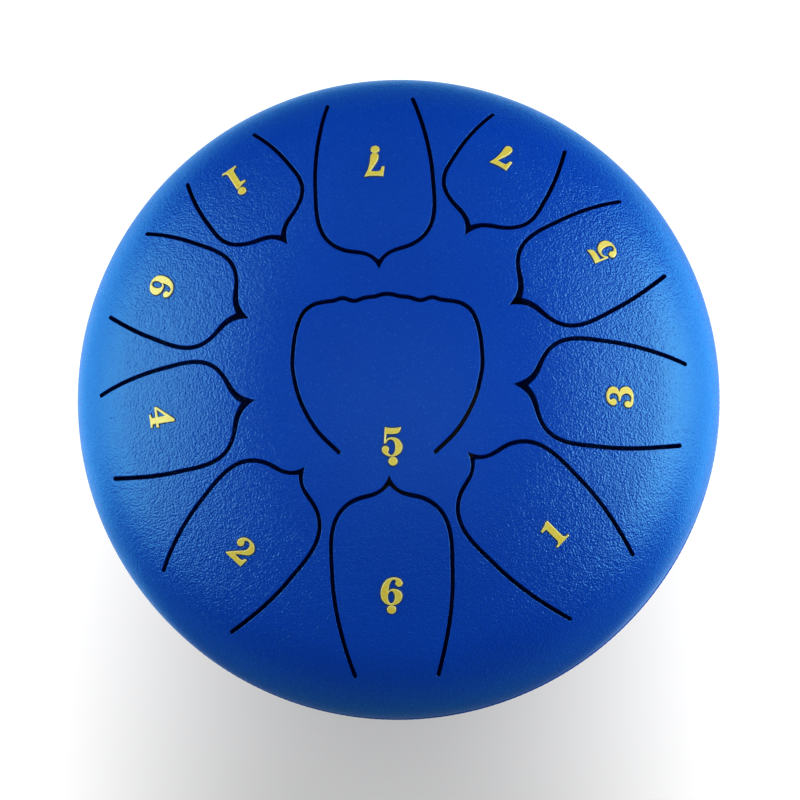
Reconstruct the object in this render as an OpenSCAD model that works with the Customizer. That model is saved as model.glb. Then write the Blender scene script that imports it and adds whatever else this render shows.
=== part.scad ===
// Eleven-note steel tongue drum: two pressed steel shells welded at the rim, eleven tongues cut
// into the upper one, a raised number on each tongue and push-in rubber feet under the lower one.
// +Z is up and the drum stands on z = 0, with the origin under its middle.

/* [Drum] */
// Outside diameter at the rim
drum_d = 254; // [240:1:280]
// Thickness of the pressed steel
wall = 2; // [1.5:0.1:2.5]
// Height of the upper shell above the seam
dome_h = 68; // [64:1:76]
// Depth of the lower shell below the seam
bowl_h = 68; // [64:1:76]
// Height of the straight band on each shell at the seam
band_h = 5; // [3:0.5:8]
// Outside radius of the knuckle between band and crown
knuckle_r = 45; // [40:1:50]
// Space between the table and the bottom of the bowl's crown
table_gap = 5; // [4:0.5:10]

/* [Slots] */
// Width of the slots round the tongues
slot_w = 1.6; // [1.2:0.05:2]
// Distance from the rim to the slot ends, seen from above
slot_margin = 16; // [14:0.5:20]
// How far back a tongue's pointed end starts to rise
ogee_depth = 7.2; // [6:0.2:8]
// Saw line between a tongue's root and the shell
root_gap = 0.1; // [0.05:0.05:0.2]

/* [Outer tongues] */
// Length of tongue low 6, from slot ends to point, seen from above
low_6_l = 70.7; // [68:0.1:72]
// Length of tongue low 7
low_7_l = 68.5; // [66:0.1:70]
// Length of tongue 1
note_1_l = 66.7; // [65:0.1:69]
// Length of tongue 2
note_2_l = 62.4; // [60:0.1:65]
// Length of tongue 3
note_3_l = 59.8; // [57:0.1:62]
// Length of tongue 4
note_4_l = 56.3; // [54:0.1:58]
// Length of tongue 5
note_5_l = 54.3; // [52:0.1:56]
// Length of tongue 6
note_6_l = 49.8; // [47:0.1:52]
// Length of tongue 7
note_7_l = 46.9; // [45:0.1:49]
// Length of tongue high 1
high_1_l = 44; // [42:0.1:46]
// Width of the four longest outer tongues
wide_w = 45; // [42:0.5:46]
// Width of tongues 3 to 6
middle_w = 40; // [38:0.5:41]
// Width of tongues 7 and high 1
narrow_w = 38.6; // [36:0.2:39]
// Reach of the slot's spike past the point of a wide tongue
wide_spike = 2.5; // [1.2:0.1:3]
// Reach of the slot's spike past the point of a middle tongue
middle_spike = 4.2; // [1.2:0.1:5]
// Reach of the slot's spike past the point of a narrow tongue
narrow_spike = 3.4; // [1.2:0.1:4]

/* [Centre tongue] */
// Width of tongue low 5
centre_w = 71; // [66:0.5:72]
// Length of tongue low 5, from slot ends to scalloped edge
centre_l = 59.4; // [56:0.2:60]
// Distance from the slot ends of tongue low 5 to the drum's middle
centre_back = 29.2; // [28:0.2:30]
// How far the bending line of tongue low 5 bows behind its slot ends
centre_bow = 7.5; // [6:0.5:8]

/* [Numbers] */
// Height of a number
number_h = 10.9; // [9:0.1:12]
// Thickness of the stamped metal
number_t = 0.4; // [0.3:0.05:0.8]
// Diameter of the dot above or below a number
dot_d = 3.7; // [3:0.1:4]
// Glue line under a number
glue_t = 0.1; // [0.05:0.05:0.2]

/* [Underside] */
// Diameter of the sound hole
sound_hole_d = 65; // [50:1:75]
// Diameter of a rubber foot
foot_d = 24; // [20:1:28]
// Distance from the drum's middle to a foot's middle
foot_ring_r = 62; // [58:1:66]
// Hole for a foot's stem
stem_hole_d = 7; // [6:0.5:8]
// Rounding of a foot's lower edge
foot_round = 1.5; // [1:0.5:2]
// Diameter of the dimple under a foot
foot_dimple_d = 9; // [7:0.5:10]
// Depth of the dimple under a foot
foot_dimple_h = 2.5; // [2:0.5:4]
// Diameter of the bulb that locks a foot inside the shell
bulb_d = 12; // [11:0.5:14]
// Height of that bulb above the shell's inner face
bulb_h = 6; // [5:0.5:8]

/* [Seam] */
// Depth of the weld groove in each shell's outer corner
groove = 1.2; // [0.8:0.1:1.5]
// Height of the weld bead above the band
bead_h = 0.5; // [0.3:0.1:1]

/* [Hidden] */
$fn = 120;

paint = [0.02, 0.24, 0.68];
gold = [0.85, 0.72, 0.25];
black = [0.06, 0.06, 0.06];

// Clearance between a rubber foot and the steel, and in the weld groove
seat_gap = 0.2;
weld_gap = 0.05;
// How far every cutting body runs past what it cuts
overrun = 10;

FOOT_bearings = [45, 135, 225, 315];

rim_r = drum_d / 2;
seam_z = table_gap + bowl_h;
root_r = rim_r - slot_margin;
// The sizes of the tongues are those of a dome whose slots end this far from its middle. A larger
// or smaller dome carries the whole pattern in proportion.
layout_r = 111;
layout_share = root_r / layout_r;

// Dome profile
// A crown arc and a knuckle arc meet where their slopes agree.
knuckle_x = rim_r - knuckle_r;
function crown_r(h) = let (rise = h - band_h)
    (pow(knuckle_x, 2) + pow(rise, 2) - pow(knuckle_r, 2)) / (2 * (rise - knuckle_r));
function meet_angle(h) = asin(knuckle_x / (crown_r(h) - knuckle_r));
// Height of the crown's outer face above the seam, at plan radius r
function crown_z(h, r) = h - crown_r(h) + sqrt(pow(crown_r(h), 2) - r * r);

// Half of a shell's cross-section from the axis out to a face that lies grow outside the steel
module half_section(h, grow) {
    cr = crown_r(h);
    meet_x = (cr + grow) * sin(meet_angle(h));
    translate([0, -overrun])
        square([rim_r + grow, band_h + overrun]);
    intersection() {
        translate([0, h - cr])
            circle(r = cr + grow);
        square([meet_x, h + overrun]);
    }
    intersection() {
        translate([knuckle_x, band_h])
            circle(r = knuckle_r + grow);
        translate([meet_x, 0])
            square([rim_r + grow, h + overrun]);
    }
}

// The steel of a shell, or the layer between two faces given by their distance outside it
module layer(h, outside, inside) {
    rotate_extrude()
        intersection() {
            difference() {
                half_section(h, outside);
                half_section(h, inside);
            }
            square([rim_r + overrun, h + overrun]);
        }
}

module at_seam() {
    translate([0, 0, seam_z])
        children();
}

// The groove leaves a bevel on the outer corner, and the weld fills it.
module grooved_shell(h) {
    difference() {
        layer(h, 0, -wall);
        rotate_extrude()
            polygon([[rim_r - groove, 0], [rim_r - groove, -overrun], [rim_r + overrun, -overrun],
                [rim_r + overrun, groove + overrun], [rim_r, groove]]);
    }
}

// Curves for the slot outlines
function unit(v) = v / norm(v);
function right_of(v) = [v[1], -v[0]];
function bend(p, t) = p[0] * pow(1 - t, 3) + 3 * p[1] * t * pow(1 - t, 2)
    + 3 * p[2] * t * t * (1 - t) + p[3] * pow(t, 3);
function heading(p, t) = unit((p[1] - p[0]) * pow(1 - t, 2) + 2 * (p[2] - p[1]) * t * (1 - t)
    + (p[3] - p[2]) * t * t);
// Points along a curve, moved aside to its right
function beside(p, aside, steps) =
    [for (i = [0 : steps]) bend(p, i / steps) + aside * right_of(heading(p, i / steps))];
function arc(centre, r, from, to, steps) =
    [for (i = [0 : steps]) let (a = from + (to - from) * i / steps) centre + r * [cos(a), sin(a)]];
function flipped(points) = [for (i = [len(points) - 1 : -1 : 0]) [points[i][0], -points[i][1]]];
function without_last(points) = [for (i = [0 : len(points) - 2]) points[i]];

// Outer tongues
// Length from a tongue's point to its widest place, as a share of half its width
long_head_share = 1.49;
short_head_share = 1.26;
// What one family of tongues has in common: width, head share and spike
WIDE = [wide_w, long_head_share, wide_spike];
MIDDLE = [middle_w, long_head_share, middle_spike];
NARROW = [narrow_w, short_head_share, narrow_spike];
// What differs from tongue to tongue, in OUTER's order: bearing, then the shares of width at the
// root, of length from the root to its number and of half width from axis to number, then the
// number's turn
TONGUE_bearings = [-89, 94.4, -44.5, -131.8, -4.6, -169.8, 30, 157, 61.5, 126.9];
TONGUE_shares = [[0.7, 0.435, -0.018], [0.74, 0.415, -0.03], [0.755, 0.392, 0.065],
    [0.785, 0.417, 0.072], [0.785, 0.402, -0.015], [0.82, 0.416, -0.09], [0.845, 0.308, 0.078],
    [0.89, 0.319, 0], [0.82, 0.308, 0.14], [0.84, 0.262, 0.034]];
NUMBER_turns = [-2.4, -4.5, 0.7, -0.8, 0.6, -1.4, 2.8, 4.9, 0.5, -4.7];
function tongue(i, length, family) =
    concat([TONGUE_bearings[i], length, family], TONGUE_shares[i], NUMBER_turns[i]);
LOW_6 = tongue(0, low_6_l, WIDE);
LOW_7 = tongue(1, low_7_l, WIDE);
NOTE_1 = tongue(2, note_1_l, WIDE);
NOTE_2 = tongue(3, note_2_l, WIDE);
NOTE_3 = tongue(4, note_3_l, MIDDLE);
NOTE_4 = tongue(5, note_4_l, MIDDLE);
NOTE_5 = tongue(6, note_5_l, MIDDLE);
NOTE_6 = tongue(7, note_6_l, MIDDLE);
NOTE_7 = tongue(8, note_7_l, NARROW);
HIGH_1 = tongue(9, high_1_l, NARROW);
OUTER = [LOW_6, LOW_7, NOTE_1, NOTE_2, NOTE_3, NOTE_4, NOTE_5, NOTE_6, NOTE_7, HIGH_1];

// Shape of every outer tongue, as shares chosen to follow the photographed outline. A slope share
// is how far a line runs one way for each unit that it runs the other.
flank_share = 0.45;
shoulder_share = 0.36;
arch_share = 1.37;
ogee_side_share = 0.65;
arch_slope_share = 0.58;
// How the ogee runs on from there to its point: its shares of handle at both ends and the slope
// that its point makes with the tongue's axis
TONGUE_TIP_shares = [0.37, 0.5];
tongue_tip_slope_share = 0.95;
SPIKE_shares = [0.44, 0.53];
spike_slope_share = 0.4;
// How far a tongue's point lies behind the line of its length, as a share of the slot's width
blunt_share = 0.84;

function half_w(t) = layout_share * t[2][0] / 2;
function tongue_l(t) = layout_share * t[1];
function tip_r(t) = root_r - tongue_l(t);
function slot_end(t) = [root_r, half_w(t) * t[3]];
function widest(t) = [tip_r(t) + t[2][1] * half_w(t), half_w(t)];
function ogee_start(t) = [tip_r(t) + layout_share * ogee_depth, half_w(t) * ogee_side_share];
arch_heading = unit([-arch_slope_share, -1]);

// The flank is a parabola that ends parallel to the tongue's axis at its widest place.
function flank(t) = let (a = slot_end(t), b = widest(t), c = [b[0] + flank_share * (a[0] - b[0]), b[1]])
    [a, a + (c - a) * 2 / 3, b + (c - b) * 2 / 3, b];
function shoulder(t) = let (a = widest(t), b = ogee_start(t))
    [a, a - [shoulder_share * (a[0] - b[0]), 0], b - arch_heading * arch_share * (a[1] - b[1]), b];
function ogee(t, aside, tip_x, tip_slope, tip_shares) =
    let (a = ogee_start(t) + aside * right_of(arch_heading), b = [tip_x, 0], reach = norm(b - a))
    [a, a + arch_heading * tip_shares[0] * reach,
        b + unit([1, tip_slope]) * tip_shares[1] * reach, b];
// One side of a tongue's outline, from its slot end to its point
function outline_side(t, aside, tip_x, tip_slope, tip_shares) = concat(
    without_last(beside(flank(t), aside, 5)),
    without_last(beside(shoulder(t), aside, 9)),
    beside(ogee(t, aside, tip_x, tip_slope, tip_shares), 0, 7));
function slot_cap(t) = arc(slot_end(t), slot_w / 2, -90, 60, 5);

module opening(t) {
    spike_r = tip_r(t) - layout_share * t[2][2];
    side = concat(slot_cap(t), outline_side(t, slot_w / 2, spike_r, spike_slope_share, SPIKE_shares));
    polygon(concat(without_last(side), flipped(side)));
}

module blade(t) {
    point_r = tip_r(t) + blunt_share * slot_w;
    side = outline_side(t, -slot_w / 2, point_r, tongue_tip_slope_share, TONGUE_TIP_shares);
    past_root = [[root_r + overrun, side[0][1]]];
    intersection() {
        polygon(concat(past_root, without_last(side), flipped(side), flipped(past_root)));
        translate([0, -rim_r])
            square([root_r - root_gap, drum_d]);
    }
}

// Centre tongue
// Right half of its slot, from slot end to the middle of the scalloped edge, as shares of half
// its width and of its length
CENTRE_shares = [[0.507, 0], [0.74, 0.14], [0.91, 0.32], [0.988, 0.49], [1, 0.6], [0.97, 0.76],
    [0.9, 0.88], [0.79, 0.937], [0.66, 0.955], [0.57, 0.961], [0.47, 0.977], [0.35, 0.957],
    [0.24, 0.976], [0.13, 0.984], [0.06, 0.996], [0, 1]];
centre_side = layout_share
    * [for (s = CENTRE_shares) [s[0] * centre_w / 2, s[1] * centre_l - centre_back]];
function across(points) = [for (i = [len(points) - 1 : -1 : 0]) [-points[i][0], points[i][1]]];
// A smooth curve through the points: each span is a curve whose ends head along its neighbours
function span(points, i) = let (n = len(points) - 1, a = points[i], b = points[i + 1])
    [a, a + (b - points[max(i - 1, 0)]) / 6, b - (points[min(i + 2, n)] - a) / 6, b];
function smooth_side(points, aside, steps) = concat(
    [for (i = [0 : len(points) - 2]) each without_last(beside(span(points, i), aside, steps))],
    [bend(span(points, len(points) - 2), 1)
        + aside * right_of(heading(span(points, len(points) - 2), 1))]);
centre_path = concat(centre_side, [for (p = across(centre_side)) if (p[0] < 0) p]);
centre_end = centre_side[0];
bow = layout_share * centre_bow;
bow_r = (pow(centre_end[0], 2) + pow(bow, 2)) / (2 * bow);
bow_mid = [0, centre_end[1] - bow + bow_r];
// Half of the bow's spread, less the share of it that lies inside the round slot ends
bow_spread = asin(centre_end[0] / bow_r) - asin(slot_w / 2 / bow_r);
centre_heading = heading(span(centre_path, 0), 0);
centre_back_angle = atan2(-centre_heading[1], -centre_heading[0]);

// Going round the slot's outer edge and closing behind the bow
module centre_opening() {
    cap = arc(centre_end, slot_w / 2, centre_back_angle, centre_back_angle + 75, 3);
    back = arc(bow_mid, bow_r, -90 - bow_spread, -90 + bow_spread, 12);
    polygon(concat(cap, smooth_side(centre_path, slot_w / 2, 3), across(cap), back));
}

module centre_blade() {
    cap = arc(centre_end, slot_w / 2, centre_back_angle, centre_back_angle - 75, 3);
    back = arc(bow_mid, bow_r - root_gap, -90 - bow_spread, -90 + bow_spread, 12);
    polygon(concat(cap, smooth_side(centre_path, -slot_w / 2, 3), across(cap), back));
}

module through_dome() {
    linear_extrude(height = dome_h + overrun)
        children();
}

// Shells
module top_shell() {
    color(paint)
        at_seam()
            difference() {
                grooved_shell(dome_h);
                for (t = OUTER)
                    rotate([0, 0, t[0]])
                        through_dome()
                            opening(t);
                through_dome()
                    centre_opening();
            }
}

module bottom_shell() {
    color(paint)
        at_seam()
            mirror([0, 0, 1])
                difference() {
                    grooved_shell(bowl_h);
                    cylinder(h = bowl_h + overrun, d = sound_hole_d);
                    for (a = FOOT_bearings)
                        rotate([0, 0, a])
                            translate([foot_ring_r, 0, 0])
                                cylinder(h = bowl_h + overrun, d = stem_hole_d);
                }
}

module rim_weld() {
    leg = groove - weld_gap;
    bead_r = (leg * leg + bead_h * bead_h) / (2 * bead_h);
    color(paint)
        at_seam()
            rotate_extrude() {
                polygon([[rim_r - leg + weld_gap, 0], [rim_r + weld_gap / 2, -leg],
                    [rim_r + weld_gap / 2, leg]]);
                intersection() {
                    translate([rim_r + bead_h - bead_r, 0])
                        circle(r = bead_r);
                    translate([rim_r, -leg])
                        square([overrun, 2 * leg]);
                }
            }
}

module outer_tongue(t) {
    color(paint)
        at_seam()
            intersection() {
                layer(dome_h, 0, -wall);
                rotate([0, 0, t[0]])
                    through_dome()
                        blade(t);
            }
}

module tongue_low_5() {
    color(paint)
        at_seam()
            intersection() {
                layer(dome_h, 0, -wall);
                through_dome()
                    centre_blade();
            }
}

module tongue_low_6() outer_tongue(LOW_6);
module tongue_low_7() outer_tongue(LOW_7);
module tongue_1() outer_tongue(NOTE_1);
module tongue_2() outer_tongue(NOTE_2);
module tongue_3() outer_tongue(NOTE_3);
module tongue_4() outer_tongue(NOTE_4);
module tongue_5() outer_tongue(NOTE_5);
module tongue_6() outer_tongue(NOTE_6);
module tongue_7() outer_tongue(NOTE_7);
module tongue_high_1() outer_tongue(HIGH_1);

// Numerals
// Outlines as shares of the number's height, from the middle of its foot. A third value of 1
// marks a corner; the curve runs smoothly through the other points.
ONE_shares = [[-0.312, 0, 1], [0.312, 0, 1], [0.312, 0.09, 1], [0.2, 0.1], [0.136, 0.19, 1],
    [0.136, 1, 1], [0.05, 1, 1], [-0.12, 0.93], [-0.324, 0.885, 1], [-0.324, 0.8, 1],
    [-0.136, 0.78, 1], [-0.136, 0.19, 1], [-0.2, 0.1], [-0.312, 0.09, 1]];
TWO_shares = [[-0.29, 0.84], [-0.16, 0.955], [0, 0.99], [0.19, 0.965],
    [0.34, 0.84], [0.387, 0.69], [0.339, 0.55], [0.204, 0.43], [0.05, 0.32], [-0.07, 0.22, 1],
    [0.17, 0.215], [0.25, 0.26], [0.285, 0.35, 1], [0.387, 0.35, 1], [0.345, 0, 1],
    [-0.387, 0, 1], [-0.39, 0.06, 1], [-0.27, 0.2], [-0.13, 0.35], [0.02, 0.5], [0.105, 0.6],
    [0.135, 0.72], [0.108, 0.83], [0.03, 0.89], [-0.07, 0.875], [-0.12, 0.8, 1],
    each knob([-0.195, 0.68], 0.141, 35, -185)];
THREE_shares = [[-0.25, 0.93], [-0.03, 0.997], [0.17, 0.96], [0.29, 0.85],
    [0.31, 0.72], [0.257, 0.61], [0.15, 0.55, 1], [0.29, 0.48], [0.36, 0.3], [0.31, 0.14],
    [0.16, 0.03], [-0.03, 0], [-0.23, 0.012], [-0.34, 0.1],
    each knob([-0.24, 0.215], 0.119, 175, -20), [-0.15, 0.135, 1], [-0.08, 0.1],
    [0.017, 0.11], [0.09, 0.19], [0.103, 0.3], [0.05, 0.4],
    [-0.03, 0.455], [-0.17, 0.48, 1], [-0.17, 0.54, 1], [-0.03, 0.57], [0.045, 0.63],
    [0.069, 0.73], [0.04, 0.83], [-0.03, 0.885], [-0.12, 0.87], [-0.15, 0.82, 1],
    each knob([-0.22, 0.735], 0.127, 30, -190)];
FOUR_shares = [[-0.176, 0, 1], [0.324, 0, 1], [0.324, 0.088, 1], [0.24, 0.1], [0.206, 0.15, 1],
    [0.206, 0.235, 1], [0.355, 0.235, 1], [0.355, 0.353, 1], [0.226, 0.353, 1], [0.262, 1, 1],
    [0.147, 1, 1], [-0.4, 0.36, 1], [-0.4, 0.25, 1], [-0.038, 0.244, 1], [-0.038, 0.15, 1],
    [-0.08, 0.1], [-0.176, 0.088, 1]];
FOUR_eye_shares = [[-0.029, 0.62, 1], [-0.029, 0.36, 1], [-0.27, 0.36, 1]];
FIVE_shares = [[-0.23, 1, 1], [-0.035, 0.965], [0.14, 0.96], [0.324, 0.985, 1], [0.25, 0.81],
    [0.11, 0.745], [-0.174, 0.75, 1], [-0.2, 0.59, 1], [-0.1, 0.645], [0.07, 0.65], [0.23, 0.565],
    [0.332, 0.37], [0.294, 0.17], [0.156, 0.04], [-0.035, 0], [-0.226, 0.05], [-0.33, 0.15],
    each knob([-0.235, 0.262], 0.122, 180, -25), [-0.15, 0.165, 1], [-0.1, 0.09], [-0.01, 0.08],
    [0.065, 0.18], [0.09, 0.34], [0.062, 0.49], [-0.035, 0.565], [-0.135, 0.54],
    [-0.215, 0.44, 1], [-0.285, 0.44, 1]];
SIX_shares = [[0.31, 0.93], [0.17, 0.995], [0.03, 1], [-0.17, 0.92],
    [-0.32, 0.71], [-0.378, 0.45], [-0.34, 0.21], [-0.2, 0.05], [-0.005, 0], [0.195, 0.045],
    [0.325, 0.165], [0.375, 0.33], [0.335, 0.475], [0.215, 0.57], [0.065, 0.6], [-0.04, 0.58],
    [-0.1, 0.53, 1], [-0.08, 0.69], [-0.025, 0.83], [0.05, 0.905], [0.12, 0.895],
    [0.15, 0.85, 1], each knob([0.25, 0.796], 0.131, 180, 365)];
SEVEN_shares = [[-0.325, 1, 1], [-0.09, 0.975], [0.14, 0.975], [0.364, 1, 1], [0.24, 0.7],
    [0.178, 0.41], [0.165, 0.2], [0.13, 0.05], [0.01, 0], [-0.11, 0.05], [-0.14, 0.18],
    [-0.095, 0.35], [0.01, 0.56], [0.127, 0.76, 1], [-0.09, 0.775], [-0.2, 0.74],
    [-0.257, 0.571, 1], [-0.361, 0.571, 1]];
// The eye of the six is an oval: centre, then half its width and height
SIX_eye_shares = [-0.009, 0.294, 0.114, 0.21];
// How high each figure from 1 to 7 stands
HEIGHT_shares = [0.95, 0.98, 1.02, 0.98, 1.03, 1, 0.99];
// Middle of a dot below or above a number
DOT_below_share = -0.148;
DOT_above_share = 1.165;

// The round end of a stroke
function knob(centre, r, from, to) = arc(centre, r, from, to, 6);
function knots(shares) = [for (p = shares) each p[2] == 1 ? [[p[0], p[1]], [p[0], p[1]]] : [[p[0], p[1]]]];
function rounded(points, steps) = let (n = len(points))
    [for (i = [0 : n - 1]) let (a = points[i], b = points[(i + 1) % n])
        if (norm(b - a) > 0)
            let (curve = [a, a + (b - points[(i + n - 1) % n]) / 6,
                b - (points[(i + 2) % n] - a) / 6, b])
            for (k = [0 : steps - 1]) bend(curve, k / steps)];

function figure_h(n) = number_h * HEIGHT_shares[n - 1];

// The figures, one unit high
module figure(shares) {
    polygon(rounded(knots(shares), 3));
}

module unit_numeral(n) {
    if (n == 1) figure(ONE_shares);
    if (n == 2) figure(TWO_shares);
    if (n == 3) figure(THREE_shares);
    if (n == 4)
        difference() {
            figure(FOUR_shares);
            figure(FOUR_eye_shares);
        }
    if (n == 5) figure(FIVE_shares);
    if (n == 6)
        difference() {
            figure(SIX_shares);
            polygon([for (a = [0 : 20 : 340]) [
                SIX_eye_shares[0] + SIX_eye_shares[2] * cos(a),
                SIX_eye_shares[1] + SIX_eye_shares[3] * sin(a)]]);
        }
    if (n == 7) figure(SEVEN_shares);
}

module numeral(n) {
    scale(figure_h(n))
        unit_numeral(n);
}

// The dome's crown as a whole ball, grow larger than the steel
module crown_ball(grow) {
    ball_r = crown_r(dome_h) + grow;
    translate([0, 0, dome_h - crown_r(dome_h)])
        rotate_extrude()
            intersection() {
                circle(r = ball_r);
                translate([0, -ball_r])
                    square([ball_r, 2 * ball_r]);
            }
}

// A number is stamped to the crown's curve, its middle at plan radius r and aside from the
// tongue's axis. It stands with its top towards the drum's middle, turned from that by turn.
module number(n, dot, bearing, r, aside, turn) {
    x = r * cos(turn) + aside * sin(turn);
    y = aside * cos(turn) - r * sin(turn);
    color(gold)
        at_seam()
            difference() {
                intersection() {
                    crown_ball(glue_t + number_t);
                    rotate([0, 0, bearing + turn])
                        translate([x, y, crown_z(dome_h, r)])
                            rotate([0, asin(x / crown_r(dome_h)), 0])
                                rotate([0, 0, 90])
                                    translate([0, -figure_h(n) / 2, -overrun / 2]) {
                                        linear_extrude(height = overrun)
                                            numeral(n);
                                        if (dot != 0)
                                            translate([0, figure_h(n) * dot, 0])
                                                cylinder(h = overrun, d = dot_d);
                                    }
                }
                crown_ball(glue_t);
            }
}

module outer_number(n, t, dot = 0) {
    number(n, dot, t[0], root_r - t[4] * tongue_l(t), t[5] * half_w(t), t[6]);
}

// The centre number stands behind the tongue's middle, a little to the right.
CENTRE_number_shares = [0.056, 0.061];
centre_number_turn = 2;
module number_low_5() number(5, DOT_below_share, -90,
    layout_share * (centre_back - CENTRE_number_shares[1] * centre_l),
    layout_share * CENTRE_number_shares[0] * centre_w / 2, centre_number_turn);
module number_low_6() outer_number(6, LOW_6, DOT_below_share);
module number_low_7() outer_number(7, LOW_7, DOT_below_share);
module number_1() outer_number(1, NOTE_1);
module number_2() outer_number(2, NOTE_2);
module number_3() outer_number(3, NOTE_3);
module number_4() outer_number(4, NOTE_4);
module number_5() outer_number(5, NOTE_5);
module number_6() outer_number(6, NOTE_6);
module number_7() outer_number(7, NOTE_7);
module number_high_1() outer_number(1, HIGH_1, DOT_above_share);

// Feet
bowl_inner_z = table_gap + crown_r(bowl_h) - sqrt(pow(crown_r(bowl_h) - wall, 2) - pow(foot_ring_r, 2));

// Everything inside a face that lies grow outside the bowl's steel
module inside_bowl(grow) {
    at_seam()
        mirror([0, 0, 1])
            rotate_extrude()
                intersection() {
                    half_section(bowl_h, grow);
                    translate([0, -overrun])
                        square([rim_r + overrun, bowl_h + 2 * overrun]);
                }
}

// A foot is moulded to the bowl, and its stem and bulb pass through the hole in the steel.
module foot(bearing) {
    color(black)
        difference() {
            union() {
                difference() {
                    at_foot(bearing)
                        foot_body();
                    inside_bowl(seat_gap);
                }
                at_foot(bearing)
                    translate([0, 0, foot_dimple_h])
                        cylinder(h = bowl_inner_z, d = stem_hole_d - 2 * seat_gap);
                intersection() {
                    at_foot(bearing)
                        bulb();
                    inside_bowl(-wall - seat_gap);
                }
            }
            at_foot(bearing)
                translate([0, 0, -overrun])
                    cylinder(h = foot_dimple_h + overrun, d = foot_dimple_d);
        }
}

module at_foot(bearing) {
    rotate([0, 0, bearing])
        translate([foot_ring_r, 0, 0])
            children();
}

// The body reaches up through the steel, which trims its top to the bowl's curve.
module foot_body() {
    rotate_extrude() {
        square([foot_d / 2 - foot_round, foot_round]);
        translate([0, foot_round])
            square([foot_d / 2, bowl_inner_z + foot_d / 2]);
        intersection() {
            translate([foot_d / 2 - foot_round, foot_round])
                circle(r = foot_round);
            translate([foot_d / 2 - foot_round, 0])
                square(foot_round);
        }
    }
}

// The bulb starts inside the steel, which trims its foot in the same way.
module bulb() {
    translate([0, 0, bowl_inner_z - wall])
        rotate_extrude() {
            square([bulb_d / 2, bulb_h + wall - bulb_d / 2]);
            translate([0, bulb_h + wall - bulb_d / 2])
                intersection() {
                    circle(d = bulb_d);
                    square(bulb_d);
                }
        }
}

module foot_rear_right() foot(FOOT_bearings[0]);
module foot_rear_left() foot(FOOT_bearings[1]);
module foot_front_left() foot(FOOT_bearings[2]);
module foot_front_right() foot(FOOT_bearings[3]);

top_shell();
bottom_shell();
rim_weld();
tongue_low_5();
tongue_low_6();
tongue_low_7();
tongue_1();
tongue_2();
tongue_3();
tongue_4();
tongue_5();
tongue_6();
tongue_7();
tongue_high_1();
number_low_5();
number_low_6();
number_low_7();
number_1();
number_2();
number_3();
number_4();
number_5();
number_6();
number_7();
number_high_1();
foot_rear_right();
foot_rear_left();
foot_front_left();
foot_front_right();
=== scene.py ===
"""Looks of the eleven-note steel tongue drum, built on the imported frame. Lengths in the shape code are
millimetres, as in part.scad, and become metres when a mesh is made."""
import math
from collections import namedtuple

import bpy
import numpy as np
from mathutils import Matrix, Vector
from mathutils.geometry import delaunay_2d_cdt


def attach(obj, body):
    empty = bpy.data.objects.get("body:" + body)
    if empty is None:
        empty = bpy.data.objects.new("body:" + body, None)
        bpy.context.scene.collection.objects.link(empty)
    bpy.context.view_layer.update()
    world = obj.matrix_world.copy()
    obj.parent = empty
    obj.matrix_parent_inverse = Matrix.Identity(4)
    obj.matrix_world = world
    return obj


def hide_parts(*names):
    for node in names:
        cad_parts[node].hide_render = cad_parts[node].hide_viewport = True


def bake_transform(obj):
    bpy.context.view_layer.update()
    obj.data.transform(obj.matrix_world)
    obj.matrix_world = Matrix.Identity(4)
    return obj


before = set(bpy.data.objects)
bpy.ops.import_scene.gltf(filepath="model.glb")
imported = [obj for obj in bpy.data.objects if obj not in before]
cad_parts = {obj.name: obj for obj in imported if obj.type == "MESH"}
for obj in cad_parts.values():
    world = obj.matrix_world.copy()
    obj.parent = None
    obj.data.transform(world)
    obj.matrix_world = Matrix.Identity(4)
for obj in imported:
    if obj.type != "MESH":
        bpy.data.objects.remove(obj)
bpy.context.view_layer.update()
MM = 0.001

# Sizes, as in part.scad
RIM_R, WALL, DOME_H, BOWL_H, BAND_H, KNUCKLE_R = 127.0, 2.0, 68.0, 68.0, 5.0, 45.0
TABLE_GAP = 5.0
SLOT_W, SLOT_MARGIN, OGEE_DEPTH = 1.6, 16.0, 7.2
NUMBER_H, NUMBER_T, GLUE_T = 10.9, 0.4, 0.1
SOUND_HOLE_R, FOOT_RING_R, STEM_HOLE_R = 32.5, 62.0, 3.5
FOOT_R, FOOT_ROUND, DIMPLE_R, DIMPLE_H = 12.0, 1.5, 4.5, 2.5
BULB_R, BULB_H, SEAT_GAP = 6.0, 6.0, 0.2
GROOVE, BEAD_H, WELD_GAP = 1.2, 0.5, 0.05
FEET = {"foot_rear_right": 45, "foot_rear_left": 135, "foot_front_left": 225, "foot_front_right": 315}

# The photographed dots are a little smaller than those of the solids
DOT_D = 3.5

# Each family's width, length of its head as a share of half the width, and reach of its slot's spike
Family = namedtuple("Family", "width head spike")
WIDE, MIDDLE, NARROW = Family(45.0, 1.49, 2.5), Family(40.0, 1.49, 4.2), Family(38.6, 1.26, 3.4)

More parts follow.
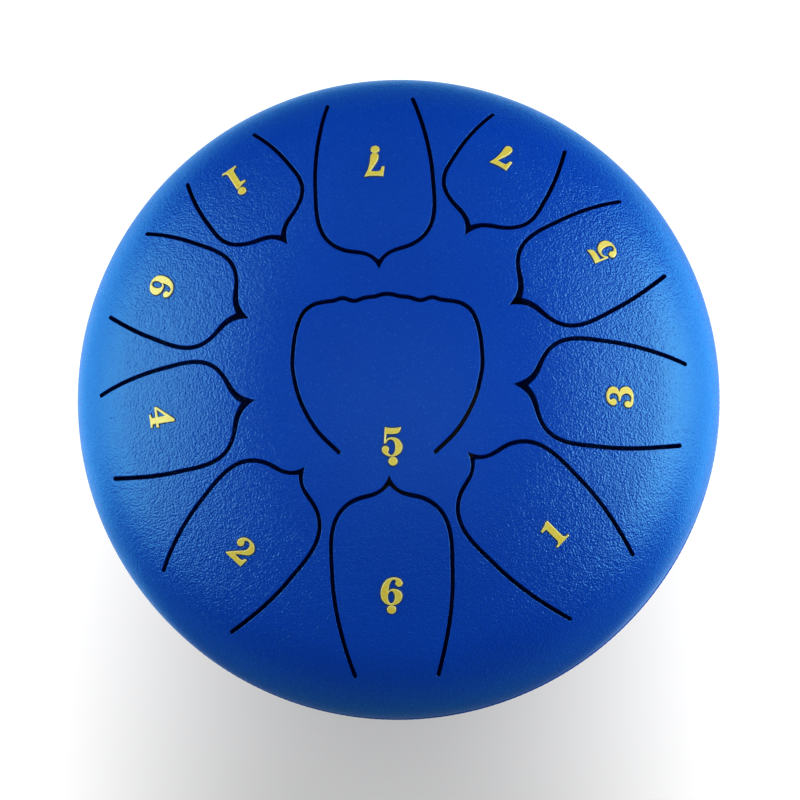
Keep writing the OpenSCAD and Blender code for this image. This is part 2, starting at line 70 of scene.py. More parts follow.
# root is a share of the width. radial, from the root, and aside place the number, as shares of the
# length and of half the width. turn is the number's own, and its dot is -1 below it or 1 above it.
Tongue = namedtuple("Tongue", "bearing length family root radial aside turn figure dot")
OUTER = {
    "low_6": Tongue(-89, 70.7, WIDE, 0.7, 0.435, -0.018, -2.4, 6, -1),
    "low_7": Tongue(94.4, 68.5, WIDE, 0.74, 0.415, -0.03, -4.5, 7, -1),
    "1": Tongue(-44.5, 66.7, WIDE, 0.755, 0.392, 0.065, 0.7, 1, 0),
    "2": Tongue(-131.8, 62.4, WIDE, 0.785, 0.417, 0.072, -0.8, 2, 0),
    "3": Tongue(-4.6, 59.8, MIDDLE, 0.785, 0.402, -0.015, 0.6, 3, 0),
    "4": Tongue(-169.8, 56.3, MIDDLE, 0.82, 0.416, -0.09, -1.4, 4, 0),
    "5": Tongue(30, 54.3, MIDDLE, 0.845, 0.308, 0.078, 2.8, 5, 0),
    "6": Tongue(157, 49.8, MIDDLE, 0.89, 0.319, 0.0, 4.9, 6, 0),
    "7": Tongue(61.5, 46.9, NARROW, 0.82, 0.308, 0.14, 0.5, 7, 0),
    "high_1": Tongue(126.9, 44.0, NARROW, 0.84, 0.262, 0.034, -4.7, 1, 1),
}
CENTRE_W, CENTRE_L, CENTRE_BACK, CENTRE_BOW, CENTRE_BEARING = 71.0, 59.4, 29.2, 7.5, -90
# The centre number's place, as the shares radial and aside, and its turn
CENTRE_RADIAL, CENTRE_ASIDE, CENTRE_TURN = 0.061, 0.056, 2

SEAM_Z = TABLE_GAP + BOWL_H
ROOT_R = RIM_R - SLOT_MARGIN
KNUCKLE_X = RIM_R - KNUCKLE_R
RISE = DOME_H - BAND_H
CROWN_R = (KNUCKLE_X**2 + RISE**2 - KNUCKLE_R**2) / (2 * (RISE - KNUCKLE_R))
MEET = math.asin(KNUCKLE_X / (CROWN_R - KNUCKLE_R))


# Profile of the shells
def skin(r, inset=0.0):
    """Height above the seam, at plan radius r, of the face that lies inset inside the steel's outer face."""
    r = np.asarray(r, float)
    crown, knuckle = CROWN_R - inset, KNUCKLE_R - inset
    on_crown = DOME_H - CROWN_R + np.sqrt(np.maximum(crown**2 - r**2, 0))
    on_knuckle = BAND_H + np.sqrt(np.maximum(knuckle**2 - (r - KNUCKLE_X) ** 2, 0))
    return np.where(r < crown * math.sin(MEET), on_crown, on_knuckle)


def skin_normal(xy, inset=0.0):
    """Outward unit normals of that face at plan points xy."""
    r = np.hypot(xy[:, 0], xy[:, 1])
    crown, knuckle = CROWN_R - inset, KNUCKLE_R - inset
    lean = np.clip(np.where(r < crown * math.sin(MEET), r / crown, (r - KNUCKLE_X) / knuckle), 0, 1)
    away = xy / np.maximum(r, 1e-6)[:, None]
    return np.c_[away * lean[:, None], np.sqrt(1 - lean**2)]


def unit(v):
    return v / np.linalg.norm(v, axis=-1, keepdims=True)


# Curves
def bend(p, t):
    """Points at t on the curve whose four handles are p."""
    t = np.asarray(t)[:, None]
    return p[0] * (1 - t) ** 3 + 3 * p[1] * t * (1 - t) ** 2 + 3 * p[2] * t * t * (1 - t) + p[3] * t**3


def heading(p, t):
    t = np.asarray(t)[:, None]
    return unit((p[1] - p[0]) * (1 - t) ** 2 + 2 * (p[2] - p[1]) * t * (1 - t) + (p[3] - p[2]) * t * t)


def beside(p, aside, steps):
    """Points along a curve, moved aside to its right."""
    t = np.linspace(0, 1, steps + 1)
    h = heading(p, t)
    return bend(p, t) + aside * np.c_[h[:, 1], -h[:, 0]]


def arc(centre, r, start, end, steps):
    a = np.radians(np.linspace(start, end, steps + 1))
    return centre + r * np.c_[np.cos(a), np.sin(a)]


def smooth(points, aside, steps):
    """A smooth curve through the points, moved aside to its right."""
    n, out = len(points) - 1, []
    for i in range(n):
        a, b = points[i], points[i + 1]
        handles = [a, a + (b - points[max(i - 1, 0)]) / 6, b - (points[min(i + 2, n)] - a) / 6, b]
        out.append(beside(handles, aside, steps)[: None if i == n - 1 else -1])
    return np.vstack(out)


# Slot outlines. The shares are part.scad's, chosen to follow the photographed outlines.
FLANK, SHOULDER, ARCH, OGEE_SIDE, ARCH_SLOPE = 0.45, 0.36, 1.37, 0.65, 0.58
# Slope at the ogee's point and shares of handle at its two ends, on the slot's outer edge and on the tongue
SPIKE_SLOPE, SPIKE_HANDLES = 0.4, (0.44, 0.53)
TIP_SLOPE, TIP_HANDLES = 0.95, (0.37, 0.5)
BLUNT = 0.84
FLANK_STEPS, SHOULDER_STEPS, OGEE_STEPS, SCALLOP_STEPS = 12, 18, 14, 6
OUTER_CAP_STEPS, INNER_CAP_STEPS, CENTRE_CAP_STEPS, BOW_STEPS = 12, 3, 8, 16
# Right half of the centre slot, from its slot end to the middle of the scalloped edge, as shares of
# half the tongue's width and of its length
CENTRE_SHARES = np.array([
    [0.507, 0], [0.74, 0.14], [0.91, 0.32], [0.988, 0.49], [1, 0.6], [0.97, 0.76], [0.9, 0.88],
    [0.79, 0.937], [0.66, 0.955], [0.57, 0.961], [0.47, 0.977], [0.35, 0.957], [0.24, 0.976],
    [0.13, 0.984], [0.06, 0.996], [0, 1]])
CENTRE_SIDE = CENTRE_SHARES * [CENTRE_W / 2, CENTRE_L] - [0, CENTRE_BACK]


def outer_side(tongue, aside, spike):
    """One side of a tongue's slot edge from its slot end to its point, in the frame where +x runs from
    the drum's middle along the tongue. spike chooses the slot's outer edge."""
    half = tongue.family.width / 2
    tip = ROOT_R - tongue.length
    slot_end = np.array([ROOT_R, half * tongue.root])
    widest = np.array([tip + tongue.family.head * half, half])
    start = np.array([tip + OGEE_DEPTH, half * OGEE_SIDE])
    way = unit(np.array([-ARCH_SLOPE, -1]))
    c = np.array([widest[0] + FLANK * (slot_end[0] - widest[0]), half])
    flank = [slot_end, slot_end + (c - slot_end) * 2 / 3, widest + (c - widest) * 2 / 3, widest]
    shoulder = [widest, widest - [SHOULDER * (widest[0] - start[0]), 0],
                start - way * ARCH * (widest[1] - start[1]), start]
    a = start + aside * np.array([way[1], -way[0]])
    if spike:
        b, slope, handles = np.array([tip - tongue.family.spike, 0]), SPIKE_SLOPE, SPIKE_HANDLES
    else:
        b, slope, handles = np.array([tip + BLUNT * SLOT_W, 0]), TIP_SLOPE, TIP_HANDLES
    far = np.linalg.norm(b - a)
    point = unit(np.array([1, slope]))
    ogee = [a, a + way * handles[0] * far, b + point * handles[1] * far, b]
    return np.vstack([beside(flank, aside, FLANK_STEPS)[:-1], beside(shoulder, aside, SHOULDER_STEPS)[:-1],
                      beside(ogee, 0, OGEE_STEPS)])


def turned(points, bearing):
    a = math.radians(bearing)
    return points @ np.array([[math.cos(a), math.sin(a)], [-math.sin(a), math.cos(a)]])


def outer_slot(tongue):
    """The slot's outer and inner edge, each from the +y slot end round the tongue's point to the -y one,
    as plan points of the whole drum."""
    end = np.array([ROOT_R, tongue.family.width / 2 * tongue.root])
    half = SLOT_W / 2
    out, inn = outer_side(tongue, half, True), outer_side(tongue, -half, False)
    lean = math.degrees(math.atan2(out[0][1] - end[1], out[0][0] - end[0]))
    out = np.vstack([arc(end, half, -90, lean, OUTER_CAP_STEPS)[:-1], out])
    inn = np.vstack([arc(end, half, -90, lean - 180, INNER_CAP_STEPS)[:-1], inn])
    return [turned(np.vstack([side, side[-2::-1] * [1, -1]]), tongue.bearing) for side in (out, inn)]


def centre_slot():
    """The centre slot's outer and inner edge, from its right-hand slot end round to the left one."""
    path = np.vstack([CENTRE_SIDE, (CENTRE_SIDE * [-1, 1])[-2::-1]])
    h = unit(path[1] - path[0])
    back = math.degrees(math.atan2(-h[1], -h[0]))
    edges = []
    for aside, sweep in ((SLOT_W / 2, 90), (-SLOT_W / 2, -90)):
        cap = arc(path[0], SLOT_W / 2, back, back + sweep, CENTRE_CAP_STEPS)
        edges.append(np.vstack([cap[:-1], smooth(path, aside, SCALLOP_STEPS), (cap * [-1, 1])[-2::-1]]))
    return edges


# Objects and meshes
def new_object(name, data):
    """A new object that is linked to the scene."""
    made = bpy.data.objects.new(name, data)
    bpy.context.scene.collection.objects.link(made)
    return made


# Turn, in degrees, from which an edge is shaded as sharp, and the least cosine of a mitre
CREASE, MITRE = 35, 0.3
MERGE, TINY = 1e-7, 1e-9


class Build:
    """Collects a piece's points and faces, with each face's corner normals and material."""

    def __init__(self):
        self.verts, self.faces, self.normals, self.slots, self.slot = [], [], [], [], 0

    def add(self, points):
        first = len(self.verts)
        self.verts.extend(np.asarray(points, float).tolist())
        return list(range(first, len(self.verts)))

    def face(self, corners, normals=None):
        self.faces.append(tuple(corners))
        self.slots.append(self.slot)
        self.normals.append(None if normals is None else [tuple(n) for n in normals])

    def strip(self, a, b, na, nb, closed=False):
        """Quads from row a to row b. na and nb hold the normals for the stretches after each point and
        for those before it."""
        n = len(a)
        for i in range(n if closed else n - 1):
            j = (i + 1) % n
            self.face((a[i], a[j], b[j], b[i]), (na[0][i], na[1][j], nb[1][j], nb[0][i]))

    def object(self, name, materials):
        """The mesh object, in metres. A face without corner normals is shaded flat."""
        mesh = bpy.data.meshes.new(name)
        mesh.from_pydata([tuple(v) for v in np.asarray(self.verts) * MM], [], self.faces)
        for m in materials:
            mesh.materials.append(m)
        mesh.polygons.foreach_set("material_index", self.slots)
        mesh.update()
        piece = new_object(name, mesh)
        corners = []
        for face, normals in zip(mesh.polygons, self.normals):
            corners += normals or [tuple(face.normal)] * face.loop_total
        mesh.polygons.foreach_set("use_smooth", [True] * len(mesh.polygons))
        mesh.normals_split_custom_set(corners)
        return piece


def left_of(v):
    return np.c_[-v[:, 1], v[:, 0]]


def edge_normals(path, ends=None, closed=False):
    """For a path whose material lies on its left: the mitred shift into the material at each point, and
    the material-side normals that the stretches before and after each point are shaded with."""
    after = np.roll(path, -1, 0) - path
    if not closed:
        after[-1] = after[-2]
    after = unit(after)
    before = np.roll(after, 1, 0)
    if not closed:
        before[0] = after[0]
    nb, na = left_of(before), left_of(after)
    mean = unit(nb + na)
    if ends is not None:
        mean[0], mean[-1] = ends
        nb[0] = na[0] = ends[0]
        nb[-1] = na[-1] = ends[1]
    cosine = np.clip(np.sum(mean * na, 1), MITRE, 1)
    sharp = (np.sum(nb * na, 1) < math.cos(math.radians(CREASE)))[:, None]
    return mean / cosine[:, None], np.where(sharp, nb, mean), np.where(sharp, na, mean)


def inside(points, polygon):
    """Which of the plan points lie inside the polygon."""
    x, y = points.T
    hit = np.zeros(len(points), bool)
    for (x0, y0), (x1, y1) in zip(polygon, np.roll(polygon, -1, 0)):
        if y0 != y1:
            hit ^= ((y0 > y) != (y1 > y)) & (x < (x1 - x0) * (y - y0) / (y1 - y0) + x0)
    return hit


def triangulate(points, loops):
    """Constrained triangles over all the points. loops are closed lists of point numbers."""
    edges = [(loop[i], loop[(i + 1) % len(loop)]) for loop in loops for i in range(len(loop))]
    edges = list({tuple(sorted(e)) for e in edges})
    out, _, faces, back, _, _ = delaunay_2d_cdt([Vector(p) for p in points], edges, [], 0, MERGE)
    if len(out) != len(points) or any(len(b) != 1 for b in back):
        raise ValueError("the outlines cross each other")
    faces = np.array([[back[i][0] for i in f] for f in faces])
    p = np.asarray(points)[faces]
    area = np.cross(p[:, 1] - p[:, 0], p[:, 2] - p[:, 0])
    faces[area < 0] = faces[area < 0][:, ::-1]
    return faces[np.abs(area) > TINY]


# Shells and tongues

# Rounding of a slot's edges on the outer and inner face
BEVEL, INNER_BEVEL = 0.18, 0.2
BEVEL_ANGLES = (30, 60, 90)
# The plan mesh covers a shell up to LIFT_R. Past it, rings of points go round the knuckle and the seam.
LIFT_R, RING_POINTS = 120.0, 240
ANGLES = np.linspace(0, 2 * math.pi, RING_POINTS, endpoint=False)
AROUND = np.c_[np.cos(ANGLES), np.sin(ANGLES)]
KNUCKLE_ROWS, INNER_ROWS, SOUND_HOLE_STEPS, STEM_HOLE_STEPS = 9, 7, 160, 40
# Spacing of the plan mesh on both shells and along an outer root line, then how far its points keep
# from the rim and the outlines, as shares of that spacing
TOP_STEP, BOTTOM_STEP, ROOT_STEP, RIM_GAP, OUTLINE_GAP = 3.0, 4.0, 2, 0.45, 0.36
# Distance between that mesh's rows, as a share of its spacing, and points measured at a time
ROW_SHARE, BATCH = 0.866, 500


def raised(q, z):
    """Plan points lifted to the height z above the seam."""
    return np.c_[q, SEAM_Z + z]


def on_faces(faces, chain):
    """The chain's points as point numbers of both faces."""
    return [[numbers[i] for i in chain] for numbers in faces]


class Edge:
    """A slot's or hole's edge: a plan path with the steel on its left."""

    def __init__(self, path, ends=None, closed=False):
        self.path, self.closed = path, closed
        self.shift, self.before, self.after = edge_normals(path, ends, closed)
        self.inset = path + self.shift * BEVEL

    def wall(self, build, faces, chain):
        """Rounds the edge over and runs the wall down to the inner face, from the inset path's points,
        which are chain. Returns the rows from top to bottom."""
        top, bottom = on_faces(faces, chain)
        rows, stages = [top], []
        for a in np.radians(BEVEL_ANGLES):
            q = self.path + self.shift * BEVEL * (1 - math.sin(a))
            rows.append(build.add(raised(q, skin(np.hypot(*q.T)) - BEVEL * (1 - math.cos(a)))))
        rows.append(build.add(raised(self.path, skin(np.hypot(*self.path.T), WALL) + INNER_BEVEL)))
        rows.append(bottom)
        up, down = skin_normal(self.inset), -skin_normal(self.inset, WALL)
        for n in (self.before, self.after):
            side = -np.c_[n, np.zeros(len(n))]
            over = [unit(up * math.cos(a) + side * math.sin(a)) for a in np.radians(BEVEL_ANGLES)]
            stages.append([up] + over + [side, unit(side + down)])
        for k in range(len(rows) - 1):
            build.strip(rows[k + 1], rows[k], (stages[1][k + 1], stages[0][k + 1]),
                        (stages[1][k], stages[0][k]), self.closed)
        return rows


def oriented(build, corners, direction):
    """The corners in the order that turns the face towards the direction."""
    p = np.array([build.verts[i] for i in corners])
    newell = np.cross(p, np.roll(p, -1, 0)).sum(0)
    return corners if newell @ direction > 0 else corners[::-1]


def root_wall(build, rows, faces, line, direction):
    """Closes a piece along its root line, flat. rows are those of its wall."""
    top, bottom = on_faces(faces, line)
    for a, b, c, d in zip(top[:-1], top[1:], bottom[1:], bottom[:-1]):
        build.face(oriented(build, (a, b, c, d), direction))
    for end in (0, -1):
        build.face(oriented(build, tuple(row[end] for row in rows), direction))


def hexagons(step, reach):
    """Points of an even triangular net within reach of the middle."""
    rows, columns = int(reach / (step * ROW_SHARE)) + 1, int(reach / step) + 1
    pts = np.array([((i + 0.5 * (j % 2)) * step, j * step * ROW_SHARE)
                    for j in range(-rows, rows + 1) for i in range(-columns, columns + 1)])
    return pts[np.hypot(*pts.T) < reach]


def plan_mesh(outlines, step):
    """Points and triangles over the disc inside LIFT_R, with the closed outlines kept as edges. Returns
    the points, the triangles, and the numbers of the points on the rim and on each outline."""
    points, keys = [], {}

    def number_of(p):
        key = (round(float(p[0]), 5), round(float(p[1]), 5))
        if key not in keys:
            keys[key] = len(points)
            points.append((float(p[0]), float(p[1])))
        return keys[key]

    rim = [number_of(p) for p in AROUND * LIFT_R]
    chains = [[number_of(p) for p in outline] for outline in outlines]
    fixed = np.array(points)
    net = hexagons(step, LIFT_R - RIM_GAP * step)
    for start in range(0, len(net), BATCH):
        part = net[start:start + BATCH]
        gap = np.min(np.linalg.norm(part[:, None] - fixed[None], axis=2), 1)
        for p in part[gap > OUTLINE_GAP * step]:
            number_of(p)
    faces = triangulate(points, [rim] + chains)
    return np.array(points), faces, rim, chains


def ring(build, r, z):
    return build.add(raised(AROUND * r, np.full(RING_POINTS, z)))


def ring_normal(out, up):
    return unit(np.c_[AROUND * out, np.full(RING_POINTS, up)])


def knuckle_and_seam(build, faces, rim):
    """From the plan mesh's rim down the knuckle and band, over the seam and back up inside. Each row
    holds its points, then the normals towards the row before it and towards the next."""
    top, bottom = on_faces(faces, rim)
    start = math.asin((LIFT_R - KNUCKLE_X) / KNUCKLE_R)
    n = ring_normal(math.sin(start), math.cos(start))
    rows = [(top, n, n)]

    def turn(r, angles, facing):
        for a in angles:
            n = ring_normal(facing * math.sin(a), facing * math.cos(a))
            rows.append((ring(build, KNUCKLE_X + r * math.sin(a), BAND_H + r * math.cos(a)), n, n))

    turn(KNUCKLE_R, np.linspace(start, math.pi / 2, KNUCKLE_ROWS)[1:], 1)
    side, bevel, under, inner = (ring_normal(*way) for way in ((1, 0), (1, -1), (0, -1), (-1, 0)))
    rows.append((ring(build, RIM_R, GROOVE), side, bevel))
    rows.append((ring(build, RIM_R - GROOVE, 0), bevel, under))
    rows.append((ring(build, RIM_R - WALL, 0), under, inner))
    end = math.asin((LIFT_R - KNUCKLE_X) / (KNUCKLE_R - WALL))
    turn(KNUCKLE_R - WALL, np.linspace(math.pi / 2, end, INNER_ROWS)[:-1], -1)
    n = ring_normal(-math.sin(end), -math.cos(end))
    rows.append((bottom, n, n))
    for (a, _, na), (b, nb, _) in zip(rows[:-1], rows[1:]):
        build.strip(b, a, (nb, nb), (na, na), True)


def faces_of(build, points, triangles):
    """The outer and inner faces over the triangles. Returns each plan point's number in both."""
    used = np.unique(triangles)
    q = points[used]
    r = np.hypot(*q.T)
    values = (build.add(raised(q, skin(r))), build.add(raised(q, skin(r, WALL))), skin_normal(q),
              -skin_normal(q, WALL))
    top, bottom, up, down = (dict(zip(used.tolist(), v)) for v in values)
    for t in triangles.tolist():
        build.face([top[i] for i in t], [up[i] for i in t])
        build.face([bottom[i] for i in t[::-1]], [down[i] for i in t[::-1]])
    return top, bottom


def centre_bow():
    """The root line of tongue low 5: a bow behind its slot ends, from the right one to the left one."""
    end = CENTRE_SIDE[0]
    bow_r = (end[0] ** 2 + CENTRE_BOW**2) / (2 * CENTRE_BOW)
    middle = np.array([0, end[1] - CENTRE_BOW + bow_r])
    spread = math.degrees(math.asin(end[0] / bow_r) - math.asin((SLOT_W / 2 + BEVEL) / bow_r))
    return arc(middle, bow_r, -90 + spread, -90 - spread, BOW_STEPS)[1:-1]


def outline_pairs():
    """For each tongue, the shell's edge, the tongue's edge and the root line's points between them."""
    pairs = {}
    for name, tongue in OUTER.items():
        out, inn = outer_slot(tongue)
        a = math.radians(tongue.bearing)
        across = np.array([-math.sin(a), math.cos(a)])
        shell, blade = Edge(out[::-1], ends=(across, -across)), Edge(inn, ends=(-across, across))
        n = int(np.linalg.norm(blade.inset[-1] - blade.inset[0]) / ROOT_STEP) + 1
        t = np.linspace(0, 1, n + 1)[1:-1, None]
        pairs[name] = shell, blade, blade.inset[0] * (1 - t) + blade.inset[-1] * t
    out, inn = centre_slot()
    right = unit(out[0] - CENTRE_SIDE[0])
    left = right * [-1, 1]
    pairs["low_5"] = Edge(out[::-1], ends=(left, right)), Edge(inn, ends=(right, left)), centre_bow()
    return pairs


def top_shell_and_tongues():
    """The dome with its eleven openings and the tongues in them, all cut from one plan mesh."""
    pairs = outline_pairs()
    outlines = []
    for shell, blade, root in pairs.values():
        outlines += [np.vstack([shell.inset, root]), np.vstack([blade.inset, root[::-1]])]
    points, triangles, rim, chains = plan_mesh(outlines, TOP_STEP)
    middles = points[triangles].mean(1)
    owner = np.zeros(len(triangles), int)
    for k in range(len(pairs)):
        owner[inside(middles, outlines[2 * k])] = -1
        owner[inside(middles, outlines[2 * k + 1])] = k + 1

    dome = Build()
    dome_faces = faces_of(dome, points, triangles[owner == 0])
    knuckle_and_seam(dome, dome_faces, rim)
    pieces = {"top_shell": dome}
    for k, (name, (shell, blade, _)) in enumerate(pairs.items()):
        a = math.radians(OUTER[name].bearing if name in OUTER else CENTRE_BEARING)
        outwards = np.array([math.cos(a), math.sin(a), 0])
        piece = pieces[name] = Build()
        faces = faces_of(piece, points, triangles[owner == k + 1])
        for build, edge, chain, on, direction in (
                (dome, shell, chains[2 * k], dome_faces, -outwards),
                (piece, blade, chains[2 * k + 1], faces, outwards)):
            n = len(edge.path)
            rows = edge.wall(build, on, chain[:n])
            root_wall(build, rows, on, chain[n - 1:] + chain[:1], direction)
    return pieces


def bottom_shell():
    """The bowl, its sound hole and the four holes for the feet's stems. It has the dome's profile, so it
    is built as a dome and mirrored in the plane of the seam."""
    holes = [Edge(arc((0, 0), SOUND_HOLE_R, 0, -360, SOUND_HOLE_STEPS)[:-1], closed=True)]
    for bearing in FEET.values():
        at = turned(np.array([FOOT_RING_R, 0]), bearing)
        holes.append(Edge(arc(at, STEM_HOLE_R, 0, -360, STEM_HOLE_STEPS)[:-1], closed=True))
    points, triangles, rim, chains = plan_mesh([h.inset for h in holes], BOTTOM_STEP)
    middles = points[triangles].mean(1)
    open_here = np.any([inside(middles, h.inset) for h in holes], axis=0)
    build = Build()
    faces = faces_of(build, points, triangles[~open_here])
    knuckle_and_seam(build, faces, rim)
    for h, chain in zip(holes, chains):
        h.wall(build, faces, chain)
    verts = np.array(build.verts)
    verts[:, 2] = 2 * SEAM_Z - verts[:, 2]
    build.verts = verts.tolist()
    build.faces = [f[::-1] for f in build.faces]
    build.normals = [None if n is None else [(x, y, -z) for x, y, z in n[::-1]] for n in build.normals]
    return build


def rim_weld():
    """The bead in the groove, with the ripples that a welding arc leaves. Each is bowed, rises over most
    of its pitch and falls over the rest."""
    leg, count, levels = GROOVE - WELD_GAP, 1400, 9
    pitch, rise, lag, ripple_h, proud = 2.3, 0.75, 0.35, 0.09, 0.02
    a = np.linspace(0, 2 * math.pi, count, endpoint=False)
    way = np.c_[np.cos(a), np.sin(a)]
    ripples = round(2 * math.pi * RIM_R / pitch)
    surface = []
    for u in np.linspace(-1, 1, levels):
        wave = (a * ripples / (2 * math.pi) + lag * u * u) % 1
        crest = np.where(wave < rise, wave / rise, (1 - wave) / (1 - rise))
        r = RIM_R + proud + (1 - u * u) * (BEAD_H - ripple_h * (1 - crest))
        surface.append(np.c_[way * r[:, None], np.full(count, SEAM_Z + leg * u)])
    surface = np.array(surface)
    along = np.roll(surface, -1, 1) - np.roll(surface, 1, 1)
    normal = unit(np.cross(along, np.gradient(surface, axis=0)))
    build = Build()
    rows = [build.add(s) for s in surface]
    for k in range(len(rows) - 1):
        build.strip(rows[k], rows[k + 1], (normal[k], normal[k]), (normal[k + 1], normal[k + 1]), True)
    inner = build.add(np.c_[way * (RIM_R - leg), np.full(count, SEAM_Z)])
    for near, far, z in ((rows[-1], inner, 1), (inner, rows[0], -1)):
        n = unit(np.c_[-way, np.full(count, z)])
        build.strip(near, far, (n, n), (n, n), True)
    return build


def foot(bearing):
    """A push-in rubber foot: its body under the bowl, the stem through the steel, the bulb inside. Its rows
    run from the dimple out and up to the top of the bulb."""
    count, hub, edge, lip, bulb_edge = 72, 0.01, 0.4, 0.5, 0.3
    at = turned(np.array([FOOT_RING_R, 0]), bearing)
    a = np.linspace(0, 2 * math.pi, count, endpoint=False)
    way = np.c_[np.cos(a), np.sin(a)]

    def level(r, z):
        return np.c_[at + way * r, np.full(count, z)]

    def on_bowl(r, inset, z=0.0):
        """A ring z above the bowl's face that lies inset inside the outer one."""
        q = at + way * r
        return np.c_[q, SEAM_Z - skin(np.hypot(*q.T), inset) + z]

    rows = [level(hub, DIMPLE_H), level(DIMPLE_R - edge, DIMPLE_H), level(DIMPLE_R, DIMPLE_H - edge),
            level(DIMPLE_R, edge), level(DIMPLE_R + edge, 0)]
    for b in np.linspace(0, math.pi / 2, 6):
        rows.append(level(FOOT_R - FOOT_ROUND + FOOT_ROUND * math.sin(b), FOOT_ROUND * (1 - math.cos(b))))
    rows += [on_bowl(FOOT_R, -SEAT_GAP, -lip - edge), on_bowl(FOOT_R, -SEAT_GAP, -lip)]
    for b in np.linspace(0, math.pi / 2, 4)[1:]:
        rows.append(on_bowl(FOOT_R - lip * (1 - math.cos(b)), -SEAT_GAP, -lip * (1 - math.sin(b))))
    stem, inner = STEM_HOLE_R - SEAT_GAP, WALL + SEAT_GAP
    rows += [on_bowl(stem, -SEAT_GAP), on_bowl(stem, inner), on_bowl(BULB_R - bulb_edge, inner),
             on_bowl(BULB_R, inner, bulb_edge)]
    bulb_z = SEAM_Z - float(skin(FOOT_RING_R, WALL)) + BULB_H - BULB_R
    for b in np.linspace(0, math.pi / 2, 8):
        rows.append(level(max(BULB_R * math.cos(b), hub), bulb_z + BULB_R * math.sin(b)))
    build = Build()
    numbers = [build.add(r) for r in rows]
    for k in range(len(rows) - 1):
        across = np.roll(rows[k], -1, 0) - np.roll(rows[k], 1, 0)
        n = unit(np.cross(across, rows[k + 1] - rows[k]) + 1e-12)
        build.strip(numbers[k], numbers[k + 1], (n, n), (n, n), True)
    for i, side in ((0, -1), (-1, 1)):
        build.face(oriented(build, tuple(numbers[i]), np.array([0, 0, side])))
    return build


# Numbers
def knob(centre, r, start, end, steps=6):
    """The round end of a stroke."""
    return [tuple(p) for p in arc(centre, r, start, end, steps)]


# Each figure's outline, in shares of its height. C marks a point that is a corner.
C = True
FIGURES = {
    1: [(-0.312, 0, C), (0.312, 0, C), (0.312, 0.09, C), (0.2, 0.1), (0.136, 0.19, C), (0.136, 1, C),
        (0.05, 1, C), (-0.12, 0.93), (-0.324, 0.885, C), (-0.324, 0.8, C), (-0.136, 0.78, C),
        (-0.136, 0.19, C), (-0.2, 0.1), (-0.312, 0.09, C)],
    2: [(-0.29, 0.84), (-0.16, 0.955), (0, 0.99), (0.19, 0.965), (0.34, 0.84), (0.387, 0.69),
        (0.339, 0.55), (0.204, 0.43), (0.05, 0.32), (-0.07, 0.22, C), (0.17, 0.215), (0.25, 0.26),
        (0.285, 0.35, C), (0.387, 0.35, C), (0.345, 0, C), (-0.387, 0, C), (-0.39, 0.06, C),
        (-0.27, 0.2), (-0.13, 0.35), (0.02, 0.5), (0.105, 0.6), (0.135, 0.72), (0.108, 0.83),
        (0.03, 0.89), (-0.07, 0.875), (-0.12, 0.8, C)] + knob((-0.195, 0.68), 0.141, 35, -185),
    3: [(-0.25, 0.93), (-0.03, 0.997), (0.17, 0.96), (0.29, 0.85), (0.31, 0.72), (0.257, 0.61),
        (0.15, 0.55, C), (0.29, 0.48), (0.36, 0.3), (0.31, 0.14), (0.16, 0.03), (-0.03, 0),
        (-0.23, 0.012), (-0.34, 0.1)] + knob((-0.24, 0.215), 0.119, 175, -20)
       + [(-0.15, 0.135, C), (-0.08, 0.1), (0.017, 0.11), (0.09, 0.19), (0.103, 0.3), (0.05, 0.4),
          (-0.03, 0.455), (-0.17, 0.48, C), (-0.17, 0.54, C), (-0.03, 0.57), (0.045, 0.63),
          (0.069, 0.73), (0.04, 0.83), (-0.03, 0.885), (-0.12, 0.87), (-0.15, 0.82, C)]
       + knob((-0.22, 0.735), 0.127, 30, -190),
    4: [(-0.176, 0, C), (0.324, 0, C), (0.324, 0.088, C), (0.24, 0.1), (0.206, 0.15, C),
        (0.206, 0.235, C), (0.355, 0.235, C), (0.355, 0.353, C), (0.226, 0.353, C), (0.262, 1, C),
        (0.147, 1, C), (-0.4, 0.36, C), (-0.4, 0.25, C), (-0.038, 0.244, C), (-0.038, 0.15, C),
        (-0.08, 0.1), (-0.176, 0.088, C)],
    5: [(-0.23, 1, C), (-0.035, 0.965), (0.14, 0.96), (0.324, 0.985, C), (0.25, 0.81), (0.11, 0.745),
        (-0.174, 0.75, C), (-0.2, 0.59, C), (-0.1, 0.645), (0.07, 0.65), (0.23, 0.565), (0.332, 0.37),
        (0.294, 0.17), (0.156, 0.04), (-0.035, 0), (-0.226, 0.05), (-0.33, 0.15)]
       + knob((-0.235, 0.262), 0.122, 180, -25)
       + [(-0.15, 0.165, C), (-0.1, 0.09), (-0.01, 0.08), (0.065, 0.18), (0.09, 0.34), (0.062, 0.49),
          (-0.035, 0.565), (-0.135, 0.54), (-0.215, 0.44, C), (-0.285, 0.44, C)],
    6: [(0.31, 0.93), (0.17, 0.995), (0.03, 1), (-0.17, 0.92), (-0.32, 0.71), (-0.378, 0.45),
        (-0.34, 0.21), (-0.2, 0.05), (-0.005, 0), (0.195, 0.045), (0.325, 0.165), (0.375, 0.33),
        (0.335, 0.475), (0.215, 0.57), (0.065, 0.6), (-0.04, 0.58), (-0.1, 0.53, C), (-0.08, 0.69),
        (-0.025, 0.83), (0.05, 0.905), (0.12, 0.895), (0.15, 0.85, C)]
       + knob((0.25, 0.796), 0.131, 180, 365),
    7: [(-0.325, 1, C), (-0.09, 0.975), (0.14, 0.975), (0.364, 1, C), (0.24, 0.7), (0.178, 0.41),
        (0.165, 0.2), (0.13, 0.05), (0.01, 0), (-0.11, 0.05), (-0.14, 0.18), (-0.095, 0.35),
        (0.01, 0.56), (0.127, 0.76, C), (-0.09, 0.775), (-0.2, 0.74), (-0.257, 0.571, C),
        (-0.361, 0.571, C)],
}
